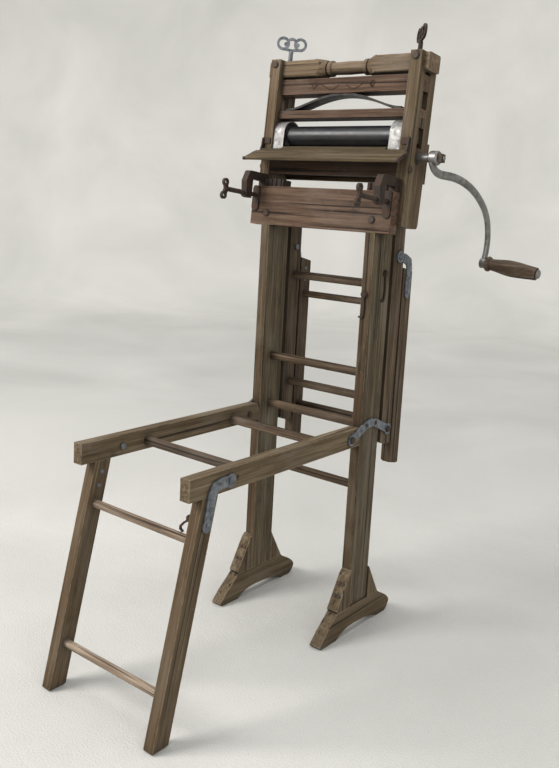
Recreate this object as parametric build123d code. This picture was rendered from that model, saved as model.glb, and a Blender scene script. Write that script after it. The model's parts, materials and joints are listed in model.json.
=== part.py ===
"""Clothes mangle: a two-roller wringer clamped on a folding wooden wash bench.

The bench is two posts on shoe feet, with a folding wing in front and another behind.
Each wing is a pair of rails with a folding leg frame.  The wringer leans back a little.

Axes: +X along the rollers towards the crank, -Y towards the lowered wing, +Z up.
The stand is drawn about the midline between the posts, on the floor; the wringer is drawn
in its own frame, whose origin is midway between the rollers' ends, and then tilted.
"""
import math
import os

from build123d import *

# ---- rollers and wringer frame, millimetres ----
ROLLER_LENGTH = 279.4
ROLLER_DIA = 44.45
ROLLER_GAP = 0.3
NIP_RISE = -20.0
SHAFT_DIA = 18.0
SHAFT_PLAY = 0.08
GUARD_ROOM = 31.0
CHEEK_THICK = 26.0
CHEEK_MARGIN = 12.8
CHEEK_OVER_BAR = 1.5
CHEEK_BOTTOM = -189.0
BEARING_SIDE = 2.0
BEARING_WALL = 8.6
SLIDE_PLAY = 0.3

# ---- top bar, pressure board, spring and thumb screws ----
BAR_GAP = 6.0
BAR_HEIGHT = 37.0
BAR_DEPTH = 48.0
BAR_HEAD = 12.0
BAR_TURNED_HALF = 80.0
BAR_TURN_CUT = 5.0
BOARD_DEPTH = 42.0
PRESSURE_HEIGHT = 33.5
LOWER_BOARD_RISE = 15.4
LOWER_BOARD_HEIGHT = 17.0
SPRING_ROOM = 36.5
GUIDE_PIN_DIA = 7.0
GUIDE_PIN_INSET = 13.7
GUIDE_PIN_Y = 11.0
ROLLER_TRAVEL = 8.0
SPRING_WIDTH = 36.0
SPRING_THICK = 4.5
SPRING_END_INSET = 18.0
SCREW_DIA = 9.5
SCREW_PLAY = 0.25
SCREW_NECK = 27.0
HANDLE_WIDTH = 70.0
HANDLE_HEIGHT = 33.0
HANDLE_THICK = 5.0
HANDLE_TURN_LEFT = 37.0
HANDLE_TURN_RIGHT = -47.0
NUT_PLATE = 34.0
NUT_PLATE_THICK = 2.5

# ---- guards, apron, lower rails ----
GUARD_SHEET = 1.2
GUARD_OVER_AXIS = 33.6
GUARD_UNDER_AXIS = 6.4
GUARD_REACH = 30.0
GUARD_RADIUS = 31.0
APRON_SLOPE = 29.0
APRON_DEPTH = 54.0
APRON_THICK = 8.0
APRON_TAIL = 15.0
APRON_END_INSET = 5.0
APRON_LIP = 3.5
APRON_IRON_THICK = 2.5
APRON_PIVOT_RISE = 5.4
APRON_PIVOT_OUT = 7.5
APRON_PIN_DIA = 5.0
BRACKET_THICK = 3.0
FRONT_RAIL_INSET = 2.0
FRONT_RAIL_HEIGHT = 34.0
REAR_BOARD_TOP = -8.0
REAR_BOARD_HEIGHT = 84.0
REAR_BOARD_THICK = 8.0

# ---- crank ----
CRANK_GAP = 29.5
CRANK_HUB_DIA = 30.0
CRANK_HUB_LENGTH = 22.0
CRANK_NUT = 17.0
CRANK_NUT_THICK = 9.0
CRANK_THREAD_DIA = 10.0
CRANK_REACH = 289.0
CRANK_DROP = 197.0
CRANK_BAR = 18.0
CRANK_BAR_THICK = 12.0
CRANK_EYE_DIA = 23.0
CRANK_EYE_LENGTH = 15.0
GRIP_LENGTH = 122.0
GRIP_DIA = 37.0
GRIP_DROOP = 6.0
GRIP_BORE_DIA = 9.0
GRIP_GAP = 2.0

# ---- clamps that hold the wringer to the bench ----
CLAMP_INSET = 21.0
CLAMP_WIDTH = 15.0
CLAMP_THROAT = 27.0
CLAMP_ARM = 18.0
CLAMP_TOP_RISE = 29.0
CLAMP_SCREW_DROP = 22.0
CLAMP_BASE_WIDTH = 55.0
CLAMP_SCREW_DIA = 10.0
CLAMP_PAD_HEIGHT = 56.0
CLAMP_PAD_WIDTH = 18.0
CLAMP_PAD_THICK = 4.5
CLAMP_HANDLE_OUT = 111.0
CLAMP_WING_LENGTH = 23.0
CLAMP_WING_WIDTH = 17.0

# ---- bench: posts, feet, crossboard and rungs ----
STAND_HEIGHT = 975.0
HEAD_RISE = 120.5
HEAD_SETBACK = 44.3
HEAD_LEAN = 5.25
POST_GAP = 17.5
POST_THICK = 23.0
POST_DEPTH = 72.0
CROSSBOARD_HEIGHT = 87.0
CROSSBOARD_TOP = -120.3
CROSSBOARD_THICK = 27.0
CROSSBOARD_INSET = 10.0
SHOE_THICK = 27.0
SHOE_TOE = 145.0
SHOE_HEEL = 136.0
SHOE_HEIGHT = 63.0
SHOE_ARCH = 17.0
GUSSET_RISE = 86.0
GUSSET_FOOT = 50.0
GUSSET_STEP = 6.0
RUNG_DIA = 19.0
RUNG_TENON = 10.0
POST_RUNG_HEIGHTS = (332.0, 473.0, 588.0)

# ---- folding wings ----
PIVOT_HEIGHT = 455.0
PIVOT_OUT = 36.0
PIVOT_DIA = 8.0
PIVOT_PLAY = 0.08
WING_TIP_BELOW_TOP = 30.0
RAIL_DEPTH = 41.0
RAIL_OVER_PIVOT = 22.5
RAIL_PLAY = 0.3
STOP_GAP = 0.5
WING_RUNGS = (62.0, 322.0)
WING_RUNG_DIA = 19.0
KNEE_FROM_TIP = 102.0
LEG_DEPTH = 37.0
LEG_SPLAY = 13.2
LEG_GAP = 6.0
LEG_RUNGS = (114.0, 388.0)
LEG_RUNG_DIA = 16.0
LEG_FOOT_BEVEL = 3.5
PLATE_THICK = 4.0
PLATE_BAND = 18.0
EYE_DIA = 25.0
KNEE_BAND = 20.0
KNEE_EYE_DIA = 26.0
BOLT_HEAD_DIA = 15.0
BOLT_HEAD_THICK = 4.0
WOOD_SCREW_HEAD = 8.0
WOOD_SCREW_DIA = 4.0
WOOD_SCREW_LENGTH = 16.0
FRAME_BOLT_DIA = 7.0

# ---- hooks ----
HOOK_WIRE = 3.6
HOOK_STUD_DIA = 6.8
SIDE_HOOK_LENGTH = 62.0
FRONT_HOOK_LENGTH = 52.0
LEG_HOOK_LENGTH = 35.0
HOOK_PLAY = 0.5
LEG_HOOK_REST = 48.0

# ---- sizes that follow from the ones above ----
CHEEK_IN = ROLLER_LENGTH / 2 + GUARD_ROOM
CHEEK_OUT = CHEEK_IN + CHEEK_THICK
CHEEK_DEPTH = ROLLER_DIA + 2 * CHEEK_MARGIN
SLOT_WIDTH = SHAFT_DIA + 2 * BEARING_SIDE
GUIDE_PIN_X = CHEEK_IN - GUIDE_PIN_INSET
UPPER_AXIS = NIP_RISE + (ROLLER_DIA + ROLLER_GAP) / 2
LOWER_AXIS = NIP_RISE - (ROLLER_DIA + ROLLER_GAP) / 2
CRANK_X = CHEEK_OUT + CRANK_GAP
CRANK_PLANE = CRANK_X + CRANK_HUB_LENGTH * 0.6
GRIP_ROOT = CRANK_PLANE + CRANK_EYE_LENGTH * 0.6
SLOT_FOOT = LOWER_AXIS - SHAFT_DIA / 2 - BEARING_WALL
LOWER_BOARD_BOTTOM = UPPER_AXIS + ROLLER_DIA / 2 + LOWER_BOARD_RISE
LOWER_BOARD_TOP = LOWER_BOARD_BOTTOM + LOWER_BOARD_HEIGHT
PRESSURE_BOTTOM = LOWER_BOARD_TOP + SPRING_ROOM
PRESSURE_TOP = PRESSURE_BOTTOM + PRESSURE_HEIGHT
BAR_BOTTOM = PRESSURE_TOP + BAR_GAP
BAR_TOP = BAR_BOTTOM + BAR_HEIGHT
CHEEK_TOP = BAR_TOP + CHEEK_OVER_BAR
GUARD_TOP = UPPER_AXIS + GUARD_OVER_AXIS
GUARD_BOTTOM = LOWER_AXIS + GUARD_UNDER_AXIS
APRON_PIVOT_Z = LOWER_AXIS + APRON_PIVOT_RISE
FRONT_RAIL_TOP = LOWER_AXIS - ROLLER_DIA / 4 - 0.5
APRON_PIVOT_Y = -CHEEK_DEPTH / 2 - APRON_PIVOT_OUT
FRONT_RAIL_BOTTOM = FRONT_RAIL_TOP - FRONT_RAIL_HEIGHT
CROSSBOARD_BOTTOM = CROSSBOARD_TOP - CROSSBOARD_HEIGHT
BOARD_BACK = -CHEEK_DEPTH / 2
BOARD_FACE = BOARD_BACK - CROSSBOARD_THICK
CLAMP_X = CHEEK_OUT - CLAMP_INSET
CLAMP_AXIS_Z = CROSSBOARD_TOP - CLAMP_SCREW_DROP
POST_OUT = CHEEK_IN - POST_GAP
POST_IN = POST_OUT - POST_THICK
POST_MID = (POST_OUT + POST_IN) / 2
POST_FACE = POST_DEPTH / 2
PIVOT_Y = POST_FACE + PIVOT_OUT
WING_REACH = STAND_HEIGHT - WING_TIP_BELOW_TOP - PIVOT_HEIGHT + PIVOT_OUT
KNEE_Y = POST_FACE + WING_REACH - KNEE_FROM_TIP
RAIL_TOP = PIVOT_HEIGHT + RAIL_OVER_PIVOT
RAIL_BOTTOM = RAIL_TOP - RAIL_DEPTH
LEG_NEAR = PIVOT_HEIGHT - RAIL_BOTTOM + LEG_GAP
LEG_FAR = LEG_NEAR + LEG_DEPTH
FOLD_ANGLE = 90 + LEG_SPLAY
HEAD = Pos(0, HEAD_SETBACK, STAND_HEIGHT + HEAD_RISE) * Rot(-HEAD_LEAN, 0, 0)

parts = {}


# ---- drawing helpers ----
def block(x0, x1, y0, y1, z0, z1):
    """A box given by its limits along the three axes."""
    centre = Pos((x0 + x1) / 2, (y0 + y1) / 2, (z0 + z1) / 2)
    return centre * Box(abs(x1 - x0), abs(y1 - y0), abs(z1 - z0))


def rod_x(x0, x1, y, z, dia):
    """A round bar along X."""
    return Pos((x0 + x1) / 2, y, z) * Rot(0, 90, 0) * Cylinder(dia / 2, abs(x1 - x0))


def rod_y(x, y0, y1, z, dia):
    """A round bar along Y."""
    return Pos(x, (y0 + y1) / 2, z) * Rot(90, 0, 0) * Cylinder(dia / 2, abs(y1 - y0))


def rod_z(x, y, z0, z1, dia):
    """A round bar along Z."""
    return Pos(x, y, (z0 + z1) / 2) * Cylinder(dia / 2, abs(z1 - z0))


def dome_head(dia, thick):
    """A low round bolt head on the XY plane, its crown towards +Z."""
    crown = Cylinder(dia / 2, thick, align=(Align.CENTER, Align.CENTER, Align.MIN))
    return fillet(crown.edges().group_by(Axis.Z)[-1], thick * 0.6)


def wood_screw():
    """A round-headed screw: head above the XY plane, shank below it."""
    shank = rod_z(0, 0, -WOOD_SCREW_LENGTH, 0.5, WOOD_SCREW_DIA)
    return dome_head(WOOD_SCREW_HEAD, 2) + shank


def frame_bolt(length):
    """A round-headed bolt: head above the XY plane, shank below it."""
    return dome_head(BOLT_HEAD_DIA, BOLT_HEAD_THICK) + rod_z(0, 0, -length, 1, FRAME_BOLT_DIA)


def bored(shape, fastener):
    """A piece with the exact holes that a fastener fills."""
    return shape.cut(*fastener.solids())


def side_plate(outline, x0, x1):
    """A plate that fills a closed YZ outline between two X values."""
    return extrude(Plane.YZ.offset(min(x0, x1)) * outline, amount=abs(x1 - x0))


def polygon(points):
    """A face inside straight edges."""
    return make_face(Polyline(*points, close=True))


def band(points, width):
    """A strip of constant width with round joints, along a run of points."""
    shape = Pos(*points[0]) * Circle(width / 2)
    for start, end in zip(points, points[1:]):
        run = math.hypot(end[0] - start[0], end[1] - start[1])
        turn = math.degrees(math.atan2(end[1] - start[1], end[0] - start[0]))
        middle = Pos((start[0] + end[0]) / 2, (start[1] + end[1]) / 2)
        shape += middle * Rot(0, 0, turn) * Rectangle(run, width)
        shape += Pos(*end) * Circle(width / 2)
    return shape


def mirrored_x(shape):
    """The same shape on the other side of the midline."""
    return mirror(shape, about=Plane.YZ)


def group(*shapes):
    """Separate solids kept together in one node."""
    solids = []
    for shape in shapes:
        solids += shape.solids()
    return Compound(children=solids)


def pair(shape):
    """A shape and its mirror image across the midline."""
    return group(shape, mirrored_x(shape))


# ---- wringer frame ----
def cheek():
    """Right side frame: a U of two stiles joined below the roller slot, with a leg."""
    half = CHEEK_DEPTH / 2
    body = block(CHEEK_IN, CHEEK_OUT, -half, half, CHEEK_BOTTOM, CHEEK_TOP)
    foot_edges = body.edges().filter_by(Axis.X).group_by(Axis.Z)[0]
    body = fillet(foot_edges, 9)
    foot = SLOT_FOOT + SLOT_WIDTH / 2
    slot = block(CHEEK_IN, CHEEK_OUT, -SLOT_WIDTH / 2, SLOT_WIDTH / 2, foot, CHEEK_TOP)
    body -= slot
    return body - rod_x(CHEEK_IN, CHEEK_OUT, 0, foot, SLOT_WIDTH)


def top_bar():
    """Bar that locks into the open cheek tops, with a turned middle and screw holes."""
    half = BAR_DEPTH / 2
    mid = (BAR_BOTTOM + BAR_TOP) / 2
    end = CHEEK_OUT + BAR_HEAD
    bar = block(-end, end, -half, half, BAR_BOTTOM, BAR_TOP)
    ends = bar.edges().filter_by(Axis.X)
    bar = fillet(ends, 5)
    bar -= block(-BAR_TURNED_HALF, BAR_TURNED_HALF, -half, half, BAR_BOTTOM, BAR_TOP)
    bar += turned_middle(mid)
    neck = SLOT_WIDTH / 2
    for side in (-1, 1):
        for face in (-1, 1):
            bar -= block(side * CHEEK_IN, side * CHEEK_OUT, face * neck, face * half,
                         BAR_BOTTOM, BAR_TOP)
        bar -= rod_z(side * CHEEK_IN, 0, BAR_BOTTOM, BAR_TOP, SCREW_DIA + 4 * SCREW_PLAY)
    return bar


def turned_middle(mid):
    """Turned length between the square ends: sloped shoulders, a bead each side, a slim barrel."""
    full = BAR_HEIGHT / 2
    slim = full - BAR_TURN_CUT
    half = BAR_TURNED_HALF
    corner = math.hypot(full, BAR_DEPTH / 2)
    right = [(half, corner), (half - 24, full - 1), (half - 25, slim), (half - 27, slim),
             (half - 29, full - 1), (half - 36, full - 1), (half - 39, slim), (0, slim + 1)]
    left = [(-x, r) for x, r in reversed(right[:-1])]
    outline = make_face(Polyline(*([(half, 0)] + right + left + [(-half, 0)]), close=True))
    spindle = revolve(Plane.XZ * outline, Axis.X)
    return Pos(0, 0, mid) * (spindle & Box(2 * half, BAR_DEPTH, BAR_HEIGHT))


def slotted_board(bottom, height):
    """Board between the cheeks whose tenons slide in both slots."""
    half = BOARD_DEPTH / 2
    side = CHEEK_IN - SLIDE_PLAY
    board = block(-side, side, -half, half, bottom, bottom + height)
    tongue = SLOT_WIDTH / 2 - SLIDE_PLAY
    return board + block(-CHEEK_OUT, CHEEK_OUT, -tongue, tongue, bottom, bottom + height)


def bow_spring():
    """Leaf spring: its crown bears on the pressure board, its ends on the lower board."""
    end = CHEEK_IN - SPRING_END_INSET
    low = LOWER_BOARD_TOP + SLIDE_PLAY
    high = PRESSURE_BOTTOM - SPRING_THICK
    rise = high - low
    stations = ((-1, 0), (-0.92, 0.03), (-0.5, 0.60), (0, 1), (0.5, 0.60), (0.92, 0.03), (1, 0))
    under = [(end * a, low + rise * b) for a, b in stations]
    over = [(x, z + SPRING_THICK) for x, z in reversed(under)]
    rim = [Spline(*under), Line(under[-1], over[0]), Spline(*over), Line(over[-1], under[0])]
    leaf = extrude(Plane.XZ * make_face(rim), amount=SPRING_WIDTH / 2, both=True)
    return leaf


def thumb_screw(turn):
    """Pressure screw with a cast handle of two scrolls under an arch, standing at x = 0."""
    top = BAR_TOP + SCREW_NECK
    shank = rod_z(0, 0, PRESSURE_TOP + SLIDE_PLAY / 2, top, SCREW_DIA)
    handle = Pos(0, 0, top - 1) * Rot(0, 0, turn) * scroll_handle()
    return shank + handle


def scroll_handle():
    """Flat casting: a stem forks into two round loops that meet in a low arch."""
    wide = HANDLE_WIDTH / 2
    ring = HANDLE_HEIGHT * 0.46
    bar = HANDLE_HEIGHT * 0.17
    centre_x = wide - ring
    centre_z = HANDLE_HEIGHT - ring
    face = Pos(0, 2) * Rectangle(SCREW_DIA * 1.1, 8)
    for side in (-1, 1):
        loop = Pos(side * centre_x, centre_z) * (Circle(ring) - Circle(ring - bar))
        curl = Pos(side * (centre_x - ring * 0.42), centre_z - 1) * Circle(bar * 0.8)
        stem = band([(0, 1), (side * 4, 4), (side * (centre_x - 2), bar)], bar)
        face += loop + curl + stem
    face += band([(-6, HANDLE_HEIGHT - bar), (0, HANDLE_HEIGHT - bar * 0.6), (6, HANDLE_HEIGHT - bar)],
                 bar)
    return extrude(Plane.XZ * face, amount=HANDLE_THICK / 2, both=True)


def nut_plates():
    """Iron plates on the top bar that the pressure screws run through."""
    half = NUT_PLATE / 2
    plate = block(CHEEK_IN - half, CHEEK_IN + half, 1 - SLOT_WIDTH / 2, SLOT_WIDTH / 2 - 1,
                  BAR_TOP, BAR_TOP + NUT_PLATE_THICK)
    plate -= rod_z(CHEEK_IN, 0, BAR_TOP - 1, BAR_TOP + 9, SCREW_DIA + 2 * SCREW_PLAY)
    return pair(plate)


def bearing(bottom, top, axis, length, rounded):
    """Bearing block that fits a cheek slot, with a hole for a roller shaft."""
    half = SLOT_WIDTH / 2 - SLIDE_PLAY
    body = block(CHEEK_IN, CHEEK_IN + length, -half, half, bottom, top)
    if rounded:
        body = fillet(body.edges().filter_by(Axis.X).group_by(Axis.Z)[0], half - 0.5)
    return body - rod_x(CHEEK_IN, CHEEK_IN + length, 0, axis, SHAFT_DIA + 2 * SHAFT_PLAY)


def bearing_cap():
    """Metal cap over the upper shaft end, flush with the outside of the cheek."""
    half = SLOT_WIDTH / 2 - SLIDE_PLAY
    low = UPPER_AXIS + SHAFT_DIA / 2 + 7
    return block(CHEEK_IN + CHEEK_THICK * 0.7, CHEEK_OUT, -half, half, low, LOWER_BOARD_BOTTOM)


def upper_bearings():
    """Sliding blocks pressed down by the lower spring board."""
    axis = UPPER_AXIS
    block_part = bearing(axis - 14.5, LOWER_BOARD_BOTTOM, axis, CHEEK_THICK * 0.7, False)
    return pair(block_part + bearing_cap())


def lower_bearings():
    """Fixed blocks in the round foot of each slot."""
    return pair(bearing(SLOT_FOOT + SLIDE_PLAY, LOWER_AXIS + 19, LOWER_AXIS, CHEEK_THICK, True))


def rubber(axis):
    """Rubber covering of one roller, bored for its shaft."""
    half = ROLLER_LENGTH / 2
    cover = rod_x(-half, half, 0, axis, ROLLER_DIA)
    cover = chamfer(cover.edges().filter_by(GeomType.CIRCLE), 1.2)
    return cover - rod_x(-half, half, 0, axis, SHAFT_DIA)


def roller_guards():
    """Arched sheet hoods over the roller ends, each with a flange screwed to its cheek."""
    shape = hood_outline(GUARD_RADIUS) - hood_outline(GUARD_RADIUS - GUARD_SHEET)
    hood = side_plate(shape, CHEEK_IN - GUARD_REACH, CHEEK_IN)
    hollow = Pos(0, UPPER_AXIS) * Rectangle(SLOT_WIDTH + 4, 4 * GUARD_RADIUS)
    flange = hood_outline(GUARD_RADIUS - GUARD_SHEET / 2) - hollow
    return pair(hood + side_plate(flange, CHEEK_IN - GUARD_SHEET, CHEEK_IN))


def hood_outline(radius):
    """Upright shape with a round top, open straight down to the guards' lower edge."""
    spring_line = GUARD_TOP - GUARD_RADIUS
    tall = spring_line - GUARD_BOTTOM
    legs = Pos(0, spring_line - tall / 2) * Rectangle(2 * radius, tall)
    return legs + Pos(0, spring_line) * Circle(radius)


def apron():
    """Drip board that slopes forward under the rollers and swings up on its end pins."""
    half = APRON_THICK / 2
    wide = CHEEK_OUT - APRON_END_INSET
    lip = CHEEK_OUT + APRON_LIP
    tongue = CHEEK_IN - GUARD_REACH - 2
    back = APRON_PIVOT_OUT - 4.5
    board = block(-lip, lip, -APRON_DEPTH, -10, -half, half)
    board += block(-wide, wide, -10, back, -half, half)
    board += block(-tongue, tongue, back, APRON_TAIL, -half, half)
    board = fillet(board.edges().filter_by(Axis.X).group_by(Axis.Y)[0], 2.5)
    board -= rod_x(-wide, wide, 0, 0, APRON_PIN_DIA + 2 * SHAFT_PLAY)
    return apron_place() * board


def apron_end_irons():
    """Flat irons riveted along the apron's ends, with a round boss at the front."""
    lip = CHEEK_OUT + APRON_LIP
    front = -APRON_DEPTH + 2
    flat = band([(front, 0), (-14, 0)], APRON_THICK - 1)
    iron = side_plate(flat, lip, lip + APRON_IRON_THICK)
    boss = rod_x(lip, lip + APRON_IRON_THICK + 3, front, 0, APRON_THICK)
    rivet = Pos(lip + APRON_IRON_THICK, -20, 0) * Rot(0, 90, 0) * dome_head(5, 1.6)
    return apron_place() * pair(iron + boss + rivet)


def apron_place():
    """Where the apron's pin axis lies, and how far the apron slopes."""
    return Pos(0, APRON_PIVOT_Y, APRON_PIVOT_Z) * Rot(APRON_SLOPE, 0, 0)


def apron_brackets():
    """Strap irons on the cheek fronts, each with the pin that carries the apron."""
    wide = CHEEK_OUT - APRON_END_INSET
    x0 = wide + SLIDE_PLAY
    x1 = x0 + BRACKET_THICK
    face = -CHEEK_DEPTH / 2
    strap = band([(face - 3, APRON_PIVOT_Z + 26), (face - 4, APRON_PIVOT_Z + 12),
                  (APRON_PIVOT_Y, APRON_PIVOT_Z)], 9)
    strap -= Pos(face + 10, APRON_PIVOT_Z) * Rectangle(20, 90)
    plate = side_plate(strap, x0, x1)
    foot = block(CHEEK_IN + 4, x1, face - BRACKET_THICK, face,
                 APRON_PIVOT_Z + 17, APRON_PIVOT_Z + 30)
    pin = rod_x(x1 - BRACKET_THICK - 30, x1, APRON_PIVOT_Y, APRON_PIVOT_Z, APRON_PIN_DIA)
    return pair(plate + foot + pin)


def front_rail():
    """Cross rail below the apron, between the cheeks."""
    front = -CHEEK_DEPTH / 2 + FRONT_RAIL_INSET
    back = -ROLLER_DIA / 2 + 1
    return block(-CHEEK_IN, CHEEK_IN, front, back, FRONT_RAIL_BOTTOM, FRONT_RAIL_TOP)


def rear_board():
    """Thin board screwed across the backs of both cheeks."""
    back = CHEEK_DEPTH / 2
    return block(-CHEEK_OUT, CHEEK_OUT, back, back + REAR_BOARD_THICK,
                 REAR_BOARD_TOP - REAR_BOARD_HEIGHT, REAR_BOARD_TOP)


def frame_bolts():
    """Round-headed bolts: cheek tops, front rail ends and crossboard."""
    face = -CHEEK_DEPTH / 2
    x_mid = (CHEEK_IN + CHEEK_OUT) / 2
    z_bar = (BAR_BOTTOM + BAR_TOP) / 2 + 8
    bar_bolt = Pos(x_mid, face, z_bar) * Rot(90, 0, 0) * frame_bolt(CHEEK_DEPTH / 2 + 6)
    rail_y = (face + FRONT_RAIL_INSET - ROLLER_DIA / 2 + 1) / 2
    rail_z = (FRONT_RAIL_TOP + FRONT_RAIL_BOTTOM) / 2
    rail_bolt = Pos(CHEEK_OUT, rail_y, rail_z) * Rot(0, 90, 0) * frame_bolt(CHEEK_THICK + 45)
    board_z = CROSSBOARD_BOTTOM + CROSSBOARD_HEIGHT * 0.3
    board_bolt = Pos(POST_MID, BOARD_FACE, board_z) * Rot(90, 0, 0) * frame_bolt(CROSSBOARD_THICK + 30)
    return group(pair(bar_bolt), pair(rail_bolt), pair(board_bolt))


# ---- rollers and crank ----
def lower_shaft():
    """Driven shaft, with a slimmer threaded end beyond the crank's hub."""
    shoulder = CRANK_X + CRANK_HUB_LENGTH
    shaft = rod_x(-CHEEK_OUT, shoulder, 0, LOWER_AXIS, SHAFT_DIA)
    return shaft + rod_x(shoulder, shoulder + CRANK_NUT_THICK + 2, 0, LOWER_AXIS, CRANK_THREAD_DIA)


def upper_shaft():
    """Idle shaft of the upper roller; its ends stay inside the bearing caps."""
    end = CHEEK_IN + CHEEK_THICK * 0.7 - SLIDE_PLAY
    return rod_x(-end, end, 0, UPPER_AXIS, SHAFT_DIA)


def crank_arm():
    """Swan-necked iron arm with a rounded hub and an eye at its end."""
    reach, drop = CRANK_REACH, -CRANK_DROP
    root = CRANK_X + CRANK_HUB_LENGTH * 0.3
    knots = [(root, -5, -5), (root, reach * 0.06, drop * 0.12), (root + 2, reach * 0.24, drop * 0.135),
             (root + 4, reach * 0.54, drop * 0.16), (root + 5, reach * 0.80, drop * 0.285),
             (CRANK_PLANE, reach * 0.965, drop * 0.48), (CRANK_PLANE, reach * 1.028, drop * 0.71),
             (CRANK_PLANE, reach, drop)]
    path = Pos(0, 0, LOWER_AXIS) * Spline(*knots)
    section = Plane(origin=path @ 0, x_dir=(1, 0, 0), z_dir=path % 0)
    arm = sweep(section * Ellipse(CRANK_BAR_THICK / 2, CRANK_BAR / 2), path=path)
    hub = rod_x(CRANK_X, CRANK_X + CRANK_HUB_LENGTH, 0, LOWER_AXIS, CRANK_HUB_DIA)
    arm += fillet(hub.edges(), 5)
    eye = rod_x(GRIP_ROOT - CRANK_EYE_LENGTH, GRIP_ROOT, reach, LOWER_AXIS + drop, CRANK_EYE_DIA)
    arm += fillet(eye.edges(), 2)
    return arm - rod_x(CRANK_X - 20, CRANK_X + 60, 0, LOWER_AXIS, SHAFT_DIA)


def crank_nut():
    """Square nut that holds the crank on its shaft."""
    x0 = CRANK_X + CRANK_HUB_LENGTH
    half = CRANK_NUT / 2
    nut = block(x0, x0 + CRANK_NUT_THICK, -half, half, LOWER_AXIS - half, LOWER_AXIS + half)
    nut = chamfer(nut.edges().group_by(Axis.X)[-1], 1.2)
    return nut - rod_x(x0 - 1, x0 + 60, 0, LOWER_AXIS, CRANK_THREAD_DIA)


def grip_place():
    """Grip axis: from the arm's eye outwards, drooping a little; local Z runs outwards."""
    start = Pos(GRIP_ROOT, CRANK_REACH, LOWER_AXIS - CRANK_DROP)
    return start * Rot(0, 90 + GRIP_DROOP, 0)


def grip_spindle():
    """Steel pin riveted in the eye, with a head that keeps the grip on."""
    end = GRIP_LENGTH + 2 * GRIP_GAP
    pin = Pos(0, 0, (end - 6) / 2) * Cylinder(GRIP_BORE_DIA / 2, end + 6)
    head = Pos(0, 0, end) * dome_head(GRIP_DIA * 0.55, 5)
    pin = grip_place() * (pin + head)
    return pin - rod_x(GRIP_ROOT - 2 * CRANK_EYE_LENGTH, GRIP_ROOT, CRANK_REACH,
                       LOWER_AXIS - CRANK_DROP, CRANK_EYE_DIA)


def grip():
    """Turned wooden grip: flange, waist, belly and tapered end, bored for its spindle."""
    full = GRIP_DIA / 2
    length = GRIP_LENGTH
    bore = GRIP_BORE_DIA / 2 + SHAFT_PLAY
    flange = [(bore, 0), (full * 0.9, 0), (full * 0.97, 3), (full * 0.9, 7), (full * 0.72, 8)]
    body = [(full * 0.72, 8), (full * 0.78, length * 0.18), (full, length * 0.45),
            (full * 0.97, length * 0.65), (full * 0.84, length * 0.88), (full * 0.78, length)]
    rim = [Polyline(*flange), Spline(*body), Line(body[-1], (bore, length)),
           Line((bore, length), flange[0])]
    turned = revolve(Plane.XZ * make_face(rim), Axis.Z)
    return grip_place() * Pos(0, 0, GRIP_GAP) * turned


# ---- clamps ----
def clamp_casting():
    """C-shaped casting that hooks over the crossboard, with a boss for its screw."""
    top = CROSSBOARD_TOP + CLAMP_TOP_RISE
    under = top - CLAMP_ARM
    back = BOARD_BACK - SLIDE_PLAY
    inner = BOARD_FACE - CLAMP_THROAT
    outer = inner - CLAMP_ARM
    foot = CLAMP_AXIS_Z - 10
    outline = polygon([(back, under), (inner, under), (inner, foot), (outer, foot),
                       (outer - 5, under - 6), (outer + 5, top), (back, top)])
    outline = fillet(outline.vertices().sort_by(Axis.X)[0:3], CLAMP_ARM * 0.4)
    arm = side_plate(outline, CLAMP_X - CLAMP_WIDTH / 2, CLAMP_X + CLAMP_WIDTH / 2)
    arm += rod_y(CLAMP_X, outer - 4, inner, CLAMP_AXIS_Z, CLAMP_SCREW_DIA + 8)
    arm -= rod_y(CLAMP_X, outer - 20, inner + 20, CLAMP_AXIS_Z, CLAMP_SCREW_DIA + 2 * SHAFT_PLAY)
    inside = CLAMP_X - CLAMP_WIDTH / 2
    base = block(inside - CLAMP_BASE_WIDTH, inside, back - 14, back + 16, CROSSBOARD_TOP, under + 6)
    for rib in range(4):
        x = inside - CLAMP_BASE_WIDTH * (rib + 0.5) / 4
        base += rod_z(x, back - 14, CROSSBOARD_TOP, under + 6, 7)
    saddle = block(inside - 4, CLAMP_X + CLAMP_WIDTH / 2, back - 14, back, CROSSBOARD_TOP, under)
    return arm + base + saddle


def clamp_pad():
    """Pad at the screw's tip that presses the crossboard."""
    face = BOARD_FACE - SLIDE_PLAY / 2
    z_mid = CLAMP_AXIS_Z - 6
    pad = Pos(CLAMP_X, face - CLAMP_PAD_THICK / 2, z_mid) * Box(
        CLAMP_PAD_WIDTH, CLAMP_PAD_THICK, CLAMP_PAD_HEIGHT)
    return fillet(pad.edges().filter_by(Axis.Y), CLAMP_PAD_WIDTH * 0.45)


def clamp_screw():
    """Clamp screw with a handle of two open loops."""
    face = BOARD_FACE - SLIDE_PLAY / 2 - CLAMP_PAD_THICK
    out = BOARD_FACE - CLAMP_HANDLE_OUT
    shank = rod_y(CLAMP_X, out, face, CLAMP_AXIS_Z, CLAMP_SCREW_DIA)
    lobe = CLAMP_WING_WIDTH / 2
    reach = CLAMP_WING_LENGTH - lobe
    eyes = Pos(out, reach) * Circle(lobe) + Pos(out - 3, -reach) * Circle(lobe)
    wings = band([(out, reach), (out + 4, 0), (out - 3, -reach)], CLAMP_WING_WIDTH * 0.62)
    loops = Pos(out, reach) * Circle(lobe * 0.5) + Pos(out - 3, -reach) * Circle(lobe * 0.5)
    face_outline = Pos(0, CLAMP_AXIS_Z) * (eyes + wings - loops)
    return shank + side_plate(face_outline, CLAMP_X - 3, CLAMP_X + 3)


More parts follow.
